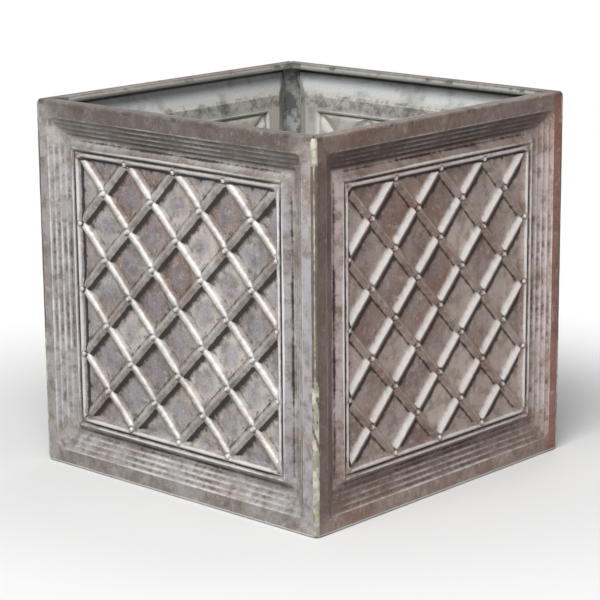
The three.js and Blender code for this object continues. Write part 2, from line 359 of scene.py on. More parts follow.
def ring_points():
    """Points of all rings, from the wall's outline in to the last one before the field, as
    arrays of ring by point. Their corners are rounded, most at the border's inner edge."""
    inset, depth = (section[:-1, k, None] for k in (0, 1))
    half_x = np.minimum(HALF - inset, WALL_END - 0.2 * inset)
    half_z = np.minimum(HEIGHT / 2 - inset, HEIGHT / 2 - FOLD_R - 0.2 * inset)
    grip = 1 + (FIELD_GRIP - 1) * ease((inset - 46) / 8)
    x = spread(rim_a[None], half_x, CELL_X, grip)
    z = spread(rim_b[None], half_z, CELL_Z, grip)
    radius = np.maximum(LEAST_CORNER, BORDER_CORNER + BORDER - inset)
    radius = np.where(inset < 16, 0.5 + 0.625 * inset, radius)
    bent_x, bent_z = rounded(x, z, half_x, half_z, radius)
    x, z = np.where(inset > 0, bent_x, x), np.where(inset > 0, bent_z, z)
    return x, z + HEIGHT / 2, depth + 0 * x, inset + 0 * x


def folded(path, outer_radius, cuts):
    """A folded strip's path with each right-angled corner turned into a quarter circle."""
    path = np.asarray(path, float)
    a, c, b = path[:-2], path[1:-1], path[2:]
    to_a, to_b = ((p - c) / np.linalg.norm(p - c, axis=1, keepdims=True) * outer_radius
                  for p in (a, b))
    centre = c + to_a + to_b
    turn = np.linspace(0, pi / 2, cuts + 1)[None, :, None]
    arcs = centre[:, None] - np.cos(turn) * to_b[:, None] - np.sin(turn) * to_a[:, None]
    return np.vstack([path[:1], arcs.reshape(-1, 2), path[-1:]])


# %% [markdown]
# ## The pressed wall: one closed sheet
#
# The outer face is a disk: the field, the rings round it, a strip folded over the rim and
# one folded under the foot. The inner face has the same grid, set back by the sheet, as a
# stamped sheet's does, without the studs. A band along the disk's edge joins the two, so
# the wall is one closed body with its real thickness. A Solidify modifier would round the
# stamping's inside, and couldn't leave out the studs.

# %% Faces of the wall's disk


def ring_ids(number):
    """The field's edge points in the rings' order."""
    n, low = REACH, np.arange(REACH)
    i = np.concatenate([low, n + low, 2 * n - low, n - low])
    j = np.concatenate([n - low, low, n + low, 2 * n - low])
    return number[i, j]


def grid_quads(ids):
    """Quads of a grid of point numbers. They turn anticlockwise where the first index
    counts to the right and the second one up."""
    return np.stack([ids[:-1, :-1], ids[1:, :-1], ids[1:, 1:], ids[:-1, 1:]],
                    axis=-1).reshape(-1, 4)


def field_faces(number):
    """Quads of the turned grid, and the triangles that its square edge cuts in half. A quad
    is numbered from the corner that its fold runs through."""
    quads = grid_quads(number)
    k = np.arange(len(lines) - 1) % LINES < LINES / 2
    turned = (k[:, None] != k[None, :]).reshape(-1, 1)
    quads = np.where(turned, np.roll(quads, -1, axis=1), quads)
    gone = (quads < 0).sum(axis=1)
    cut = quads[gone == 1]
    start = np.argmax(cut < 0, axis=1)
    order = (start[:, None] + np.arange(1, 4)) % 4
    return quads[gone == 0], np.take_along_axis(cut, order, axis=1)


def fold_rows(path, start_x):
    """Points of a folded strip, row by row along its path (depth, height). A row's ends
    keep to the mitre: half its length is the least of the wall's and HALF - depth."""
    end = np.minimum(WALL_END, HALF - path[:, :1] - GAP / np.sqrt(2))
    x = end * (start_x / WALL_END)[None]
    return np.stack(np.broadcast_arrays(x, path[:, :1], path[:, 1:]), axis=-1)


SMOOTH_BACK = (16.5, 36.0, 50.0, 56.0), (SHEET, 14.2, 14.2, 13.4)    # inset and depth
FOLD_CUTS = 3


def wall_disk(back):
    """The wall's outer face, or with back=1 its inner face: points in millimetres as (x,
    depth, z), the quads and the triangles. Behind the mouldings the inner face is plain,
    as the photograph shows it: one slope from the border to the lattice, and a fine line."""
    studded, thick = not back, back * SHEET
    x, z, number = field_points()
    field = np.stack([x, FIELD_DEPTH - lattice_relief(x, z, studded) + thick, z], axis=1)
    ring_x, ring_z, moulding, inset = ring_points()
    lattice = FIELD_DEPTH - lattice_relief(ring_x, ring_z, studded)
    depth = np.where(inset > BEADS_END, np.minimum(moulding, lattice), moulding) + thick
    if back:
        plain = np.interp(inset, *SMOOTH_BACK) + 0.7 * np.exp(-((inset - 52.5) / 0.8) ** 2)
        depth = np.where(inset > BEADS_END, depth, plain)
    rings = np.stack([ring_x, depth, ring_z], axis=-1)
    ids = len(x) + np.arange(ring_x.size).reshape(ring_x.shape)
    loops = np.vstack([ids, ring_ids(number)])
    loops = np.hstack([loops, loops[:, :1]])
    quads = [grid_quads(loops.T)]
    top, reach = HEIGHT - thick, RIM_REACH - thick
    rim = folded([(thick, HEIGHT - FOLD_R), (thick, top), (reach, top),
                  (reach, HEIGHT - LIP_DROP)], FOLD_R - thick, FOLD_CUTS)[2:]
    foot = folded([(thick, FOLD_R), (thick, thick), (FOOT_REACH, thick)],
                  FOLD_R - thick, FOLD_CUTS)[2:]
    points = [field, rings.reshape(-1, 3)]
    edge = ids[0]
    for path, row, way in ((rim, edge[2 * REACH:3 * REACH + 1][::-1], 1),
                           (foot, edge[:REACH + 1], -1)):
        strip = fold_rows(path, ring_x[0, :REACH + 1])
        first = sum(len(part) for part in points)
        rows = np.vstack([row, first + np.arange(strip[..., 0].size).reshape(len(path), -1)])
        quads.append(grid_quads(rows[::way].T))
        points.append(strip.reshape(-1, 3))
    field_quads, triangles = field_faces(number)
    return np.vstack(points), np.vstack([field_quads, *quads]), triangles


# %% Close the sheet


def directed_edges(quads, triangles):
    """Every face's edges, from a point to the next one. On a closed body each edge comes
    twice, once each way."""
    return np.vstack([faces[:, [k, (k + 1) % faces.shape[1]]]
                      for faces in (quads, triangles) for k in range(faces.shape[1])])


def closed_sheet(outer, inner, quads, triangles):
    """Joins an outer and an inner face of the same grid into one closed body. An edge that
    only one face uses is on the rim; a band of quads joins it to its twin."""
    twin = len(outer)
    edges = directed_edges(quads, triangles)
    key = np.sort(edges, axis=1) @ (twin, 1)
    _, first, uses = np.unique(key, return_index=True, return_counts=True)
    a, b = edges[first[uses == 1]].T
    band = np.stack([b, a, a + twin, b + twin], axis=1)
    return (np.vstack([outer, inner]),
            np.vstack([quads, quads[:, ::-1] + twin, band]),
            np.vstack([triangles, triangles[:, ::-1] + twin]))


# %% [markdown]
# ## Marks for the finish
#
# An aged finish follows the shape: it is worn bright on ridges and keeps its dark wash in
# hollows. Some marks also carry a painted highlight and painted shade. A render engine's
# pointiness isn't kept by an export, so the marks are worked out here from the mesh and
# stored on its points as attributes that the materials read.

# %% Ridges and hollows of a mesh


def point_normals(points, quads, triangles):
    """Unit normals: the sum of the area vectors (c-a) x (d-b) of the faces round a point."""
    normal = np.zeros_like(points)
    for faces in filter(len, (quads, triangles)):
        a, b, c, d = (points[faces[:, k]] for k in (0, 1, 2, -1))
        area = np.cross(c - a, d - b)                  # a triangle's d is its c
        for k in range(faces.shape[1]):
            normal += np.stack([np.bincount(faces[:, k], area[:, axis], len(points))
                                for axis in range(3)], axis=1)
    return normal / np.maximum(np.linalg.norm(normal, axis=1, keepdims=True), 1e-12)


def bending(points, quads, triangles, rounds):
    """Signed bend at each point, per millimetre: the mean of -2 n.(w-v) / |w-v|^2 over the
    edges from v to w, short edges weighing more, then averaged with the neighbours'
    `rounds` times. It is positive on ridges and negative in hollows."""
    a, b = directed_edges(quads, triangles).T
    way = points[b] - points[a]
    length = np.maximum(np.linalg.norm(way, axis=1), 1e-6)
    normal = point_normals(points, quads, triangles)
    bend = -2 * (normal[a] * way).sum(axis=1) / length ** 2
    weight = 1 / length
    total = np.bincount(a, weight, len(points))
    bend = np.bincount(a, bend * weight, len(points)) / total
    for _ in range(rounds):
        bend = 0.5 * bend + 0.5 * np.bincount(a, bend[b] * weight, len(points)) / total
    return bend


NO_TRIANGLES = np.zeros((0, 3), int)


def piece(name, points, quads, material, node, triangles=NO_TRIANGLES, marks=()):
    """Makes a smooth mesh object from points in millimetres. Each mark becomes a float
    attribute on the points. The piece rides on the planter's one body, and stands for its
    CAD node."""
    mesh = bpy.data.meshes.new(name)
    mesh.from_pydata((points * 0.001).tolist(), [], quads.tolist() + triangles.tolist())
    mesh.polygons.foreach_set("use_smooth", np.ones(len(mesh.polygons), bool))
    for label, values in dict(marks).items():
        layer = mesh.attributes.new(label, "FLOAT", "POINT")
        layer.data.foreach_set("value", np.asarray(values, np.float32))
    mesh.materials.append(material)
    mesh.update()
    made = linked(name, mesh)
    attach(made, "root")
    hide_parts(node)


# %% [markdown]
# ## Finishes: small node groups
#
# Every metal here shows the same four things: its colour drifts in soft blotches, its
# ridges are worn, dirt lies in its hollows, and its skin has a fine cast grain. Each is one
# node group with named sockets, built once and placed in each material with its own
# values. The Principled shader itself stays in the material.

# %% Helpers for node trees


def paint(text):
    """Linear colour of a screen colour written as six hex digits."""
    values = np.array([int(text[k:k + 2], 16) / 255 for k in (0, 2, 4)])
    linear = np.where(values < 0.04045, values / 12.92, ((values + 0.055) / 1.055) ** 2.4)
    return (*linear.tolist(), 1.0)


def group(name, inputs, outputs):
    """A node group with those named sockets, and its inner ends: what comes in, what goes
    out."""
    tree = bpy.data.node_groups.new(name, "ShaderNodeTree")
    for way, sockets in (("INPUT", inputs), ("OUTPUT", outputs)):
        for label, kind in sockets.items():
            tree.interface.new_socket(label, in_out=way, socket_type="NodeSocket" + kind)
    return tree, tree.nodes.new("NodeGroupInput").outputs, \
        tree.nodes.new("NodeGroupOutput").inputs


def calc(tree, operation, a, b=0.0, clamped=False):
    """A Math node's result."""
    return add(tree, "ShaderNodeMath", {0: a, 1: b}, operation=operation,
               use_clamp=clamped).outputs[0]


def times(tree, a, b, clamped=False):
    """The product of two values."""
    return calc(tree, "MULTIPLY", a, b, clamped)


def spots(tree, vector, scale, detail, roughness):
    """A noise texture's value at that many features per metre."""
    return add(tree, "ShaderNodeTexNoise", {"Vector": vector, "Scale": scale,
               "Detail": detail, "Roughness": roughness}).outputs["Fac"]


def between(tree, value, low, high):
    """0 below `low`, 1 above `high`, and a smooth rise between."""
    return add(tree, "ShaderNodeMapRange",
               {"Value": value, "From Min": low, "From Max": high},
               interpolation_type="SMOOTHSTEP").outputs["Result"]


def over(tree, mask, under, upper):
    """Lays one colour over another where the mask is 1. A colour is written as hex digits,
    or it is one that was worked out before."""
    mixed = add(tree, "ShaderNodeMix", {0: mask}, data_type="RGBA")
    for number, color in ((6, under), (7, upper)):
        fill(tree, mixed.inputs[number], paint(color) if isinstance(color, str) else color)
    return mixed.outputs[2]


def coats(tree, color, *layers):
    """Lays layers over a colour in turn. A layer is a mask, an amount and a colour, and it
    covers as far as mask times amount says, kept between 0 and 1."""
    for mask, amount, upper in layers:
        color = over(tree, times(tree, mask, amount, True), color, upper)
    return color


def placed(tree, group_tree, **values):
    """The outputs of a node that holds a group, with its inputs filled by name."""
    made = add(tree, "ShaderNodeGroup", node_tree=group_tree)
    for key, value in values.items():
        fill(tree, made.inputs[key], value)
    return made.outputs


# %% Group: blotches
blotches, into, out = group("Blotches", {"Vector": "Vector", "Size": "Float",
                                         "Low": "Float", "High": "Float"},
                            {"Mask": "Float"})
broad = spots(blotches, into["Vector"], calc(blotches, "DIVIDE", 1.0, into["Size"]), 5, 0.6)
wire(blotches, between(blotches, broad, into["Low"], into["High"]), out["Mask"])

# %% Group: a mark broken up by noise
broken, into, out = group("Broken mark", {"Vector": "Vector", "Mark": "Float",
                                          "Size": "Float", "Bite": "Float",
                                          "Start": "Float", "Full": "Float"},
                          {"Mask": "Float"})
tooth = spots(broken, into["Vector"], calc(broken, "DIVIDE", 1.0, into["Size"]), 4, 0.65)
tooth = times(broken, calc(broken, "SUBTRACT", tooth, 0.5), into["Bite"])
bitten = calc(broken, "ADD", into["Mark"], tooth)
wire(broken, between(broken, bitten, into["Start"], into["Full"]), out["Mask"])

# %% Group: streaks that run down a wall
streaks, into, out = group("Streaks", {"Vector": "Vector", "Size": "Float", "Low": "Float",
                                       "High": "Float"}, {"Mask": "Float"})
drawn = add(streaks, "ShaderNodeVectorMath", {0: into["Vector"], 1: (1, 1, 0.12)},
            operation="MULTIPLY").outputs[0]
run = spots(streaks, drawn, calc(streaks, "DIVIDE", 1.0, into["Size"]), 5, 0.62)
wire(streaks, between(streaks, run, into["Low"], into["High"]), out["Mask"])

# %% Group: cast grain
grain, into, out = group("Cast grain", {"Vector": "Vector"},
                         {"Height": "Float", "Speck": "Float"})
fine = spots(grain, into["Vector"], 900, 3, 0.6)
coarse = spots(grain, into["Vector"], 160, 3, 0.5)
wire(grain, calc(grain, "ADD", times(grain, fine, 0.4), times(grain, coarse, 0.6)),
     out["Height"])
wire(grain, fine, out["Speck"])
print("node groups:", [g.name for g in bpy.data.node_groups])


# %% Groups with their values


def blotched(tree, xyz, size, low, high):
    """Mask of soft blotches of that size in metres: the noise between `low` and `high`."""
    return placed(tree, blotches, Vector=xyz, Size=size, Low=low, High=high)["Mask"]


def ragged(tree, xyz, mark, size, bite, start, full):
    """A mark with a ragged edge: the noise of that size moves it by up to half of `bite`,
    and the mask rises from `start` to `full`."""
    return placed(tree, broken, Vector=xyz, Mark=mark, Size=size, Bite=bite, Start=start,
                  Full=full)["Mask"]


# %% [markdown]
# ## Finish of the walls
#
# The walls are sheet zinc with a dark lead-look patina, rubbed back by hand. The flats are
# a drifting taupe and grey, bluish where they are rubbed, rusty brown in places; the
# crests are nearly white, worn and with a painted highlight on the bars' upper slopes, and
# the quirks and the feet of the bars nearly black, a dark wash with painted shade under the
# bars. Parts of the frame get painted shade and painted light. A round violet-grey bloom
# sits in the middle of every cell, and single cells are paler or browner. The inner face is
# duller, greyer and greener. One material reads the marks, so all these follow the stamping.

# %% Helpers for materials


def new_material(name):
    """A material with an emptied tree, its object coordinates and its shader."""
    made = bpy.data.materials.new(name)
    made.use_nodes = True
    tree = made.node_tree
    tree.nodes.clear()
    coordinates = add(tree, "ShaderNodeTexCoord").outputs["Object"]
    shader = add(tree, "ShaderNodeBsdfPrincipled")
    wire(tree, shader.outputs[0], add(tree, "ShaderNodeOutputMaterial").inputs["Surface"])
    return made, tree, coordinates, shader.inputs


def mark(tree, name):
    """The value of a mark stored on the mesh."""
    return add(tree, "ShaderNodeAttribute", attribute_name=name).outputs["Fac"]


def finish(tree, shader, color, roughness, height, bump):
    """Wires a colour, a roughness, and a normal bent by a height whose full range is `bump`
    metres, to the shader."""
    bent = add(tree, "ShaderNodeBump", {"Height": height, "Distance": bump})
    for name, value in (("Base Color", color), ("Roughness", roughness),
                        ("Normal", bent.outputs["Normal"])):
        wire(tree, value, shader[name])


# %% Wall material: flats, rust and cells
lead, tree, xyz, shader = new_material("aged lead-look zinc")
edge, dark_wash_and_shade, cell, warmth, inside, level, painted_shading, tone, lip = (
    mark(tree, name) for name in ("edge", "dark_wash_and_shade", "cell", "warmth", "inside", "level",
                                  "painted_shading", "tone", "lip"))
skin = placed(tree, grain, Vector=xyz)
rusty = blotched(tree, xyz, 0.035, 0.42, 0.7)
bloom = between(tree, calc(tree, "ADD", cell, times(tree, rusty, 0.2)), 0.75, 0.35)
color = over(tree, blotched(tree, xyz, 0.05, 0.38, 0.62), "7f7772", "a29f9c")
color = coats(tree, color,
              (blotched(tree, xyz, 0.022, 0.5, 0.72), 0.6, "b0b0ad"),     # rubbed patches
              (calc(tree, "SUBTRACT", warmth, 0.25), 1.1, "956f5f"),      # warm walls
              (rusty, warmth, "79513f"),                                  # rusty patches
              (tone, 0.68, over(tree, warmth, "c9c4bd", "c6b0a3")),       # pale cells
              (tone, -0.6, over(tree, warmth, "66493f", "6b3a2e")),       # brown cells
              (between(tree, warmth, 0.72, 0.98), 0.75, "83493a"),        # rustiest end
              (bloom, calc(tree, "SUBTRACT", 0.8, warmth), "7c7b88"))

# %% [markdown]
# Whole parts of the frame are painted darker or paler than the rest, as painted shade and
# painted light: the painted_shading mark says where. On top of that lie stains, faint runs,
# lime, and the grain's own specks and pits, which the painted shade shows less.

# %% Wall material: shade, stains and specks
# Painted shade: dark brown over the frame parts that the painted_shading mark darkens.
painted_frame_shade = times(tree, times(tree, painted_shading, 1.0, True),
                 calc(tree, "ADD", 0.86, times(tree, rusty, 0.14)))
stains = blotched(tree, xyz, 0.012, 0.45, 0.66)
runs = placed(tree, streaks, Vector=xyz, Size=0.014, Low=0.5, High=0.66)["Mask"]
open_tone = calc(tree, "SUBTRACT", 1.0, times(tree, painted_frame_shade, 0.8))
lime = times(tree, blotched(tree, xyz, 0.009, 0.55, 0.72), open_tone)
specks = times(tree, between(tree, skin["Speck"], 0.56, 0.68), open_tone)
pits = between(tree, skin["Speck"], 0.44, 0.34)
# Painted light: pale blue-grey, and pale brown on rusty walls, over the frame parts that the
# mark makes paler.
painted_frame_light = times(tree, times(tree, painted_shading, -1.0, True),
             calc(tree, "SUBTRACT", 1.0, times(tree, stains, 0.8)))
color = over(tree, painted_frame_shade, color, over(tree, warmth, "3b312c", "2e1007"))
color = coats(tree, color, (stains, 0.5, "54453b"), (runs, 0.12, "4f423a"),
              (lime, 0.45, "bdb8ab"), (specks, 0.35, "d5cfbf"), (pits, 0.35, "3a322d"),
              (painted_frame_light, calc(tree, "SUBTRACT", 1.0, rusty),
               over(tree, warmth, "8c91a1", "c9b5aa")))

# %% [markdown]
# Rain and soil leave dirt in a crease along the rim and at its mitres. The inner face is
# bare zinc: bluish above the mouldings, duller below, grimy along them, and painted black
# as shadow in the corner under the lip, where no light comes.

# %% Wall material: rim and inner face
rim_top = between(tree, level, 0.985, 0.995)
smudge = times(tree, blotched(tree, xyz, 0.025, 0.54, 0.62), 0.75)
place = add(tree, "ShaderNodeSeparateXYZ", {0: xyz}).outputs
out_x, out_y = (calc(tree, "ABSOLUTE", place[k]) for k in (0, 1))
to_edge = calc(tree, "SUBTRACT", 0.2, calc(tree, "MAXIMUM", out_x, out_y))
crease = times(tree, between(tree, to_edge, 0.0030, 0.0045),
               between(tree, to_edge, 0.0100, 0.0085))
to_mitre = calc(tree, "ABSOLUTE", calc(tree, "SUBTRACT", out_x, out_y))
soiled_rim = calc(tree, "ADD", times(tree, crease, 0.75),
                  between(tree, to_mitre, 0.022, 0.004))
soiled_rim = ragged(tree, xyz, soiled_rim, 0.012, 1.6, 0.35, 0.75)
color = coats(tree, color, (lip, 0.85, "bbbcb7"), (rim_top, smudge, "2f2c28"),
              (times(tree, soiled_rim, rim_top), 0.7, "35322d"))
grimy = times(tree, between(tree, level, 0.858, 0.885),
              between(tree, level, 0.935, 0.912))
zinc = coats(tree, over(tree, between(tree, level, 0.922, 0.93), "bab8af", "bfc1c2"),
             (blotched(tree, xyz, 0.03, 0.5, 0.68), 0.55, "74776f"),
             (ragged(tree, xyz, grimy, 0.010, 2.2, 0.75, 1.35), 0.7, "4b4a46"),
             (pits, 0.5, "6c6d69"))
# Painted shadow: a nearly black band on the inner face just under the lip.
painted_shadow_under_lip = times(tree, between(tree, level, 0.966, 0.972),
                  between(tree, level, 0.978, 0.974))
color = coats(tree, over(tree, inside, color, zinc),
              (painted_shadow_under_lip, times(tree, inside, 0.95), "0f0e0d"))

# %% [markdown]
# Last come the two marks that make the stamping readable: a nearly black wash in the
# hollows, with painted shade under the rising bars and painted shadow beside the inner
# bead, and bare metal on the ridges, with a painted highlight on the bars' upper slopes.
# Worn metal is a little glossier, dirt is dull.

# %% Wall material: hollows, ridges and gloss
wash_and_shade_mask = ragged(tree, xyz, dark_wash_and_shade, 0.006, 0.7, 0.13, 0.57)
wear_and_highlight = times(tree, ragged(tree, xyz, edge, 0.007, 0.9, 0.2, 1.0),
             calc(tree, "ADD", 0.15, times(tree, open_tone, 0.85)))
# Nearly black: the dark wash and the painted shade. Nearly white: wear and the painted
# highlight.
color = coats(tree, color, (wash_and_shade_mask, 0.95, over(tree, warmth, "1b1512", "220f09")),
              (wear_and_highlight, 0.65, "e5e5e4"))
dull = calc(tree, "SUBTRACT", 0.5, times(tree, wear_and_highlight, 0.1))
roughness = calc(tree, "ADD", dull, times(tree, wash_and_shade_mask, 0.25))
shader["Metallic"].default_value = 0.1
finish(tree, shader, color, roughness, skin["Height"], bump=0.0010)
print("wall material:", len(tree.nodes), "nodes")

# %% [markdown]
# ## The four walls
#
# The sheet is worked out once and turned a quarter for each side. Its marks come from the
# bend of the mesh, the distances from the bars, the place within a lattice cell and which
# face a point lies on. Then every wall gets values of its own: how rusty it is, how far its
# rising bars are rubbed and painted with a highlight, and how much painted shade and light
# the parts of its frame get. The right wall is the rustiest, as in the photograph, and the
# front wall the coolest.

# %% The sheet and its places
outer, wall_quads, wall_triangles = wall_disk(0)
inner, *_ = wall_disk(1)
inside = np.repeat([0.0, 1.0], len(outer))
wall_points, wall_quads, wall_triangles = closed_sheet(outer, inner, wall_quads,
                                                       wall_triangles)
bend = bending(wall_points, wall_quads, wall_triangles, 1)
wall_x, wall_depth, wall_z = wall_points.T
a, b, p, q = cell_places(wall_x, wall_z)
from_middle = np.hypot(p - np.floor(p) - 0.5, q - np.floor(q) - 0.5) * 2
in_field = np.maximum(abs(a), abs(b)) < DIAMONDS
open_field = in_field & (abs(wall_x) < CELL_X - 3) & (abs(wall_z - HEIGHT / 2) < CELL_Z - 3)
across_fall, across_rise = bar_distances(wall_x, wall_z)
from_stud = np.hypot(across_fall, across_rise)
to_sides = np.stack([HALF + wall_x, HALF - wall_x, wall_z, HEIGHT - wall_z])
upper_or_left = np.isin(to_sides.argmin(axis=0), (0, 3))
nearest, next_nearest = np.sort(to_sides, axis=0)[:2]
print("wall:", len(wall_points), "points,", 2 * len(wall_quads) + len(wall_triangles),
      "triangles; bend from", round(bend.min(), 2), "to", round(bend.max(), 2))

# %% Marks that all walls share


def line_at(distance, place, width):
    """1 at that place and e^-(d/w)^2 beside it."""
    return np.exp(-((distance - place) / width) ** 2)


def clear_of(distance):
    """0 on the bar at that distance, 1 beyond its foot."""
    return ease((abs(distance) - 4.2) / 2.2)


# Painted shade under the rising bars: a dark line at the lower foot, partly wash in the
# crease, and a tail below it that fades out.
below = np.maximum(-across_rise - BAR_HALF, 0)              # shade under a rising bar
under = 1.8 * line_at(across_rise, -5.5, 1.2) + 0.55 * (below > 0) * np.exp(-(below / 7) ** 2)
ring = 0.7 * line_at(from_stud, DISH_R, 0.7)
cell_line = 0.38 * line_at(outside_line(abs(across_fall), abs(across_rise)), 0, 0.7)
# Painted shadow of the inner bead: a dark line along the field's upper and left edges.
painted_bead_shadow = 0.85 * upper_or_left * line_at(nearest, 59.3, 1.5)
stud_top = ease((STUD_R - from_stud) / 1.5)
on_steps = ease((nearest - 16) / 2) * ease((40 - nearest) / 2)
on_lip = (wall_depth > 13.5) * ease((398.9 - wall_z) / 1.2) * (wall_z > 390)
creases = (0.8 - 0.36 * on_steps) * np.clip(-bend / 0.6, 0, 1)
crests = np.clip(bend / 0.5, 0, 1) * ease((next_nearest - nearest) / 4) \
    * (1 - 0.2 * on_steps) * (1 - 0.75 * ease((wall_z - 394) / 3))

# %% Marks of one wall


def cell_tone(seed):
    """A tone from -1 (brown) to 1 (pale) for every cell: the fraction of 43758 sin(k), where
    k counts the cells unevenly, stretched, plus 0.3 x / half the lattice, as the cells are
    paler towards the wall's right end. It fades out at the cell's edge."""
    count = 12.9898 * np.floor(p) + 78.233 * np.floor(q) + 3.7 * seed
    chance = np.mod(43758.5453 * np.sin(count), 1) * 2 - 1
    leaning = np.clip(chance + 0.3 * wall_x / CELL_X, -1, 1)
    return leaning * ease((1.02 - from_middle) / 0.25) * in_field * (1 - inside)


def wall_marks(rubbing, seed):
    """The marks of one wall. `rubbing`, from 0 to 1, says how far the rising bars' upper
    slopes are rubbed bare and painted with a highlight, in place of the falling bars' upper
    slopes; the falling bars' feet are then the dirtier, and the painted shade under the
    rising bars the darker."""
    # The bars' upper slopes get pale paint that is wear and a painted highlight: more on the
    # falling bars when rubbing is low, on the rising bars when it is high. The stud tops are
    # worn.
    fall_wear_and_highlight = (0.75 - 0.25 * rubbing) * line_at(across_fall, 3.1 - 2.4 * rubbing,
                                                  1.7 - 0.7 * rubbing)
    rise_wear_and_highlight = (0.45 + 0.5 * rubbing) * ease((across_rise + 0.2) / 1.5) \
        * ease((4 + 7.5 * rubbing - across_rise) / (2 + 6.5 * rubbing)) \
        * ease((abs(across_fall) - 3) / 2)
    field_wear_and_highlight = np.maximum(0.9 * stud_top, np.maximum(fall_wear_and_highlight, rise_wear_and_highlight))
    beside = 0.42 * (1 - rubbing) * line_at(across_rise, 6.4, 1.7)
    along = 0.5 * rubbing * line_at(across_fall, -6.0, 1.5)
    field_wash_and_shade = np.maximum(((1 + 0.5 * rubbing) * under + beside) * clear_of(across_fall),
                        along * clear_of(across_rise))
    pressed = np.maximum(ring, (1 - rubbing) * cell_line)
    field_wash_and_shade = np.clip(np.maximum(field_wash_and_shade, pressed), 0, 1) * open_field
    dark_wash_and_shade = np.where(in_field, np.maximum(field_wash_and_shade, painted_bead_shadow), creases)
    return {"edge": np.where(open_field, field_wear_and_highlight, crests),
            "dark_wash_and_shade": dark_wash_and_shade * (1 - 0.85 * inside), "lip": on_lip,
            "cell": np.where(in_field, from_middle, 2.0), "tone": cell_tone(seed),
            "inside": inside, "level": wall_z / HEIGHT}


FRAME_PARTS = (-9, 19.5), (16.5, 40), (37, 46), (43, 57)    # border, steps, groove, beads


def painted_frame_shading(tones):
    """How much painted shade (above 0) or painted light (below 0) the parts of the frame get:
    the mean of the four sides' tones (left, right, foot, rim), weighed by e^(-distance / 9)."""
    weights = np.exp(-to_sides / 9)
    weights /= weights.sum(axis=0)
    parts = [ease((nearest - low) / 3) * ease((high - nearest) / 3)
             for low, high in FRAME_PARTS]
    return sum((np.array(tone)[:, None] * weights).sum(axis=0) * part
               for tone, part in zip(tones, parts))


def turned(points, quarters):
    """Turns points about the planter's axis by quarter turns, anticlockwise from above."""
    c, s = round(cos(quarters * pi / 2)), round(sin(quarters * pi / 2))
    x, y, z = points.T
    return np.stack([c * x - s * y, s * x + c * y, z], axis=1)


# %% Build the walls
# The four tones give how much painted shade (above 0) or painted light (below 0) each part of
# the frame gets.
WALLS = (       # name, rust, rubbing, then the tones of the border, steps, groove and beads
    ("front", 0.25, 0.0, (-0.5, -0.8, 0.25, 0.8), (-0.4, 0.2, -0.35, 0.75),
     (-0.1, -0.5, 0.65, 0.0), (0.3, -0.9, 0.2, 0.45)),
    ("right", 0.65, 1.0, (0.72, -0.1, 0.05, 0.5), (0.85, -0.75, 0.55, 1.2),
     (-1.1, -0.5, 0.4, -0.35), (-0.7, -0.5, 0.4, 0.1)),
    ("back", 0.4, 0.3, (0.2, 0.1, 0.4, 0.5), (0.2, 0.1, 0.1, 0.4),
     (0.1, -0.3, 0.2, 0.1), (0.1, -0.3, 0.2, 0.1)),
    ("left", 0.5, 0.6, (0.1, 0.4, 0.3, 0.5), (0.1, 0.3, 0.1, 0.5),
     (-0.3, 0.1, 0.2, 0.1), (-0.2, 0.1, 0.2, 0.1)))
front = wall_points + (0, -HALF, 0)
right_end = ease((wall_x - HALF + 22) / 6)                  # the border there rusts most
for quarters, (side, rust, rubbing, *tones) in enumerate(WALLS):
    marks = {**wall_marks(rubbing, quarters), "painted_shading": painted_frame_shading(tones),
             "warmth": rust + 0.8 * rust ** 2 * right_end}
    piece(f"pressed_wall_{side}", turned(front, quarters), wall_quads, lead,
          f"wall_{side}", wall_triangles, marks)
    print("wall:", side, "rust", rust, "rubbing", rubbing)

# %% [markdown]
# ## The corner seams
#
# Each corner is closed by a bead of cream solder or filler: a quarter-round body in the gap
# between the walls, whose face laps a little over both. It was laid by hand, so its face and
# its two feather edges wander, it carries dark specks and, where water stands, green moss.
# It is a closed section, a loop of points, carried up the corner; its size shrinks at both
# ends, so they are rounded.

# %% Solder material
solder, tree, xyz, shader = new_material("cream solder seam")
soot, level = mark(tree, "edge"), mark(tree, "level")
skin = placed(tree, grain, Vector=xyz)
sooty = ragged(tree, xyz, soot, 0.007, 1.3, 0.45, 0.75)
ends = calc(tree, "ADD", between(tree, level, 0.3, 0.12), between(tree, level, 0.93, 0.99))
moss = blotched(tree, xyz, 0.03, 0.6, 0.68)
color = over(tree, blotched(tree, xyz, 0.012, 0.4, 0.6), "8f8b7c", "bab6a7")
color = coats(tree, color, (sooty, 0.85, "4a4038"),
              (moss, calc(tree, "ADD", ends, 0.25), "7d8444"))
roughness = calc(tree, "ADD", 0.5, times(tree, sooty, 0.3))
finish(tree, shader, color, roughness, skin["Height"], bump=0.0006)
print("solder:", len(tree.nodes), "nodes")

# %% Seam surface
SEAM_ROWS, FACE_COLUMNS, HIDDEN = 301, 21, SEAM_R + 0.02
SEAM_BACK = np.array([(HIDDEN, 0.25), (HIDDEN - 0.2, 0.1), (HIDDEN - 0.35, -0.1), (0.1, -0.1),
                      (0.1, 0.35 - HIDDEN), (-0.25, -HIDDEN)])      # from the corner's middle


def loop_faces(rows, columns):
    """Quads of a closed tube: `rows` stations of `columns` points, and a fan of quads over
    each end. A station's points run anticlockwise seen from the last station."""
    k = np.arange(rows * columns).reshape(rows, columns)
    sides = grid_quads(np.hstack([k, k[:, :1]]))[:, [0, 3, 2, 1]]      # facing outwards
    low, high = np.arange(columns // 2 - 1), columns - 1 - np.arange(columns // 2 - 1)
    fan = np.stack([low, high, high - 1, low + 1], axis=1)
    return np.vstack([sides, fan, (fan + (rows - 1) * columns)[:, ::-1]])


def waver(z, seed):
    """A smooth wandering between -1 and 1: the mean of five sine waves whose lengths, from
    90 down to 6 mm, and phases differ."""
    lengths = np.array([90, 41, 23, 11, 6.0])
    phases = 2.399 * np.arange(1, 6) * (seed + 1)
    return np.sin(2 * pi * z[..., None] / lengths + phases) @ (0.3, 0.25, 0.2, 0.15, 0.1)


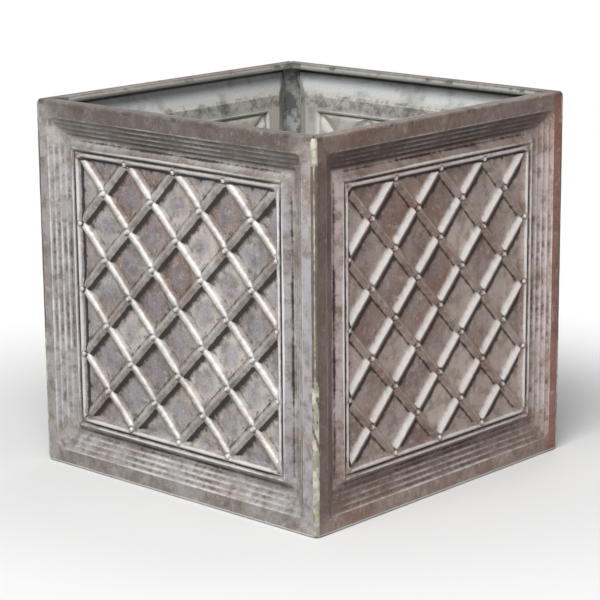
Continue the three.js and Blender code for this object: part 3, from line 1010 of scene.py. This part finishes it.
def seam_points(seed):
    """The bead's face is an arc of radius 4.3 mm less a wandering, from 15 to 22 degrees
    past either wall's end. Its back runs along the walls' faces and turns into the gap."""
    z = SEAM_LIFT + (HEIGHT - 2 * SEAM_LIFT) * np.linspace(0, 1, SEAM_ROWS)[:, None]
    lap = np.radians(9 + 7 * np.stack([waver(z, seed), waver(z, seed + 3)]))
    share = np.linspace(0, 1, FACE_COLUMNS)
    angle = -pi / 2 - lap[0] + share * (pi / 2 + lap.sum(axis=0))
    dent = 0.16 + 0.14 * waver(z + 30 * angle, seed + 5)
    face = SEAM_R + SEAM_PROUD - dent * np.sin(pi * share)
    x, y = face * np.cos(angle), face * np.sin(angle)
    x, y = (np.hstack([part, np.tile(back_part, (SEAM_ROWS, 1))])
            for part, back_part in zip((x, y), SEAM_BACK.T))
    to_end = np.minimum(z - z[0], z[-1] - z)
    full = 0.45 + 0.55 * np.sqrt(1 - (1 - np.minimum(to_end / 4, 1)) ** 2)
    corner = HALF - SEAM_R
    points = np.stack([corner + x * full, y * full - corner, z + 0 * x], axis=-1)
    off_edge = abs(angle + pi / 4) + 0.25 * (angle > -pi / 4)
    bare = ease((z / HEIGHT - 0.24 + 0.14 * waver(z, seed + 7)) / 0.3) * \
        ease((0.98 - z / HEIGHT + 0.07 * waver(z, seed + 2)) / 0.14)
    sootiness = 0.32 + 0.5 * waver(z + 12 * angle, seed + 8) + bare * ease(off_edge * 3 - 0.3)
    sootiness = np.hstack([sootiness, np.ones((SEAM_ROWS, len(SEAM_BACK)))])
    return points.reshape(-1, 3), sootiness.reshape(-1)


# %% Build the seams
CORNERS = "front_right", "back_right", "back_left", "front_left"
for quarters, corner in enumerate(CORNERS):
    points, sootiness = seam_points(quarters)
    piece(f"solder_seam_{corner}", turned(points, quarters),
          loop_faces(SEAM_ROWS, FACE_COLUMNS + len(SEAM_BACK)), solder, f"seam_{corner}",
          marks={"edge": sootiness, "level": points[:, 2] / HEIGHT})
print("seam:", len(points), "points, lowest and highest", points[:, 2].min(),
      points[:, 2].max())

# %% [markdown]
# ## The corner plates
#
# Inside, a folded strip bridges each corner: a tab against either wall and a web between
# them. The strip is a path, softened at its two folds, that is carried up the corner; its
# inner face is the same path moved by the sheet's thickness along its normals. Hand work
# left shallow dents in the web.

# %% Dull zinc material
dull_zinc, tree, xyz, shader = new_material("dull zinc")
skin = placed(tree, grain, Vector=xyz)
soot = blotched(tree, xyz, 0.02, 0.46, 0.6)
color = over(tree, blotched(tree, xyz, 0.03, 0.35, 0.65), "8b8f8b", "a7aaa7")
color = coats(tree, color, (soot, 0.75, "3b3a36"))
shader["Metallic"].default_value = 0.15
roughness = calc(tree, "ADD", 0.45, times(tree, soot, 0.3))
finish(tree, shader, color, roughness, skin["Height"], bump=0.0005)
print("dull zinc:", len(tree.nodes), "nodes")

# %% Corner plates
PLATE_END, PLATE_BEND, PLATE_ROWS = 16.0, 10.5, 161
seat, foot = SHEET + GAP, FOLD_R + GAP
fold = [(seat, PLATE_END), (seat, PLATE_BEND), (PLATE_BEND, seat), (PLATE_END, seat)]
strip = softened(fold, reach=2.2, cuts=5)
strip = np.vstack([strip[:1], (strip[0] + 2 * strip[1]) / 3, strip[1:6], strip[6:7],
                   (3 * strip[6] + strip[7]) / 4, (strip[6] + strip[7]) / 2,
                   (strip[6] + 3 * strip[7]) / 4, strip[7:-1],
                   (strip[-1] + 2 * strip[-2]) / 3, strip[-1:]])


def plate_points(path, thick, seed):
    """Points of one face of a corner plate: the path in (from the side wall, from the front
    wall), moved along its normal by `thick` and by a dent that wanders up the web."""
    way = np.gradient(path, axis=0)
    way /= np.linalg.norm(way, axis=1, keepdims=True)
    normal = np.stack([-way[:, 1], way[:, 0]], axis=1)
    z = foot + (HEIGHT - 2 * foot) * np.linspace(0, 1, PLATE_ROWS)[:, None]
    share = np.linspace(-1, 1, len(path))
    dent = 0.35 * (1 + waver(z + 20 * share, seed)) * np.clip(1 - abs(share) * 1.6, 0, 1)
    moved = path[None] + normal[None] * (thick + dent)[..., None]
    return np.stack([HALF - moved[..., 0], moved[..., 1] - HALF,
                     np.broadcast_to(z, moved.shape[:2])], axis=-1).reshape(-1, 3)


# %% Build the corner plates
k = np.arange(PLATE_ROWS * len(strip)).reshape(PLATE_ROWS, -1)
plate_quads = grid_quads(k)
for quarters, corner in enumerate(CORNERS):
    hidden_face, shown_face = (plate_points(strip, thick, quarters) for thick in (0, SHEET))
    points, quads, _ = closed_sheet(hidden_face, shown_face, plate_quads, NO_TRIANGLES)
    piece(f"folded_plate_{corner}", turned(points, quarters), quads, dull_zinc,
          f"corner_plate_{corner}")
print("corner plate:", len(points), "points")

# %% [markdown]
# ## The pan
#
# The pan's shape is right in the CAD model, so it stays, and only its finish is made: the
# same dull zinc, under a film of dry soil that is thickest in the middle.

# %% Finish of the pan
soiled, tree, xyz, shader = new_material("soiled zinc")
skin = placed(tree, grain, Vector=xyz)
flat_xyz = add(tree, "ShaderNodeVectorMath", {0: xyz, 1: (1, 1, 0)}, operation="MULTIPLY")
out_of_middle = add(tree, "ShaderNodeVectorMath", {0: flat_xyz.outputs[0]},
                    operation="LENGTH").outputs["Value"]
film = ragged(tree, xyz, between(tree, out_of_middle, 0.25, 0.05), 0.03, 0.9, 0.2, 0.9)
color = over(tree, blotched(tree, xyz, 0.05, 0.35, 0.65), "7c7f7a", "959892")
color = coats(tree, color, (film, 0.8, "5b4a3b"))
roughness = calc(tree, "ADD", 0.5, times(tree, film, 0.35))
finish(tree, shader, color, roughness, skin["Height"], bump=0.0006)
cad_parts["base_pan"].material_slots[0].material = soiled
print("pan finish:", len(tree.nodes), "nodes")

# %% [markdown]
# ## Floor
#
# The photograph's background is white. A wide pale floor keeps the planter's shadow. Far
# from the planter it shows the camera plain white, so that it runs into the white world
# with no horizon.

# %% Floor
ground, tree, xyz, shader = new_material("pale floor")
shader["Base Color"].default_value = (0.7, 0.7, 0.7, 1)
shader["Roughness"].default_value = 0.9
surface = shader["Base Color"].node
ray = add(tree, "ShaderNodeLightPath")
away = add(tree, "ShaderNodeVectorMath", {0: xyz}, operation="LENGTH").outputs["Value"]
fade = times(tree, between(tree, away, 0.3, 0.75), ray.outputs["Is Camera Ray"])
glow = add(tree, "ShaderNodeEmission", {"Color": (1, 1, 1, 1), "Strength": 1.0})
mixed = add(tree, "ShaderNodeMixShader", {0: fade, 1: surface.outputs[0],
                                          2: glow.outputs[0]})
output = next(n for n in tree.nodes if n.type == "OUTPUT_MATERIAL")
wire(tree, mixed.outputs[0], output.inputs["Surface"])
mesh = bpy.data.meshes.new("floor")
mesh.from_pydata([(-6, -6, 0), (6, -6, 0), (6, 6, 0), (-6, 6, 0)], [], [(0, 1, 2, 3)])
mesh.materials.append(ground)
floor = linked("floor", mesh)
floor.location.z = -0.0003              # a hair below the foot, so the two don't coincide
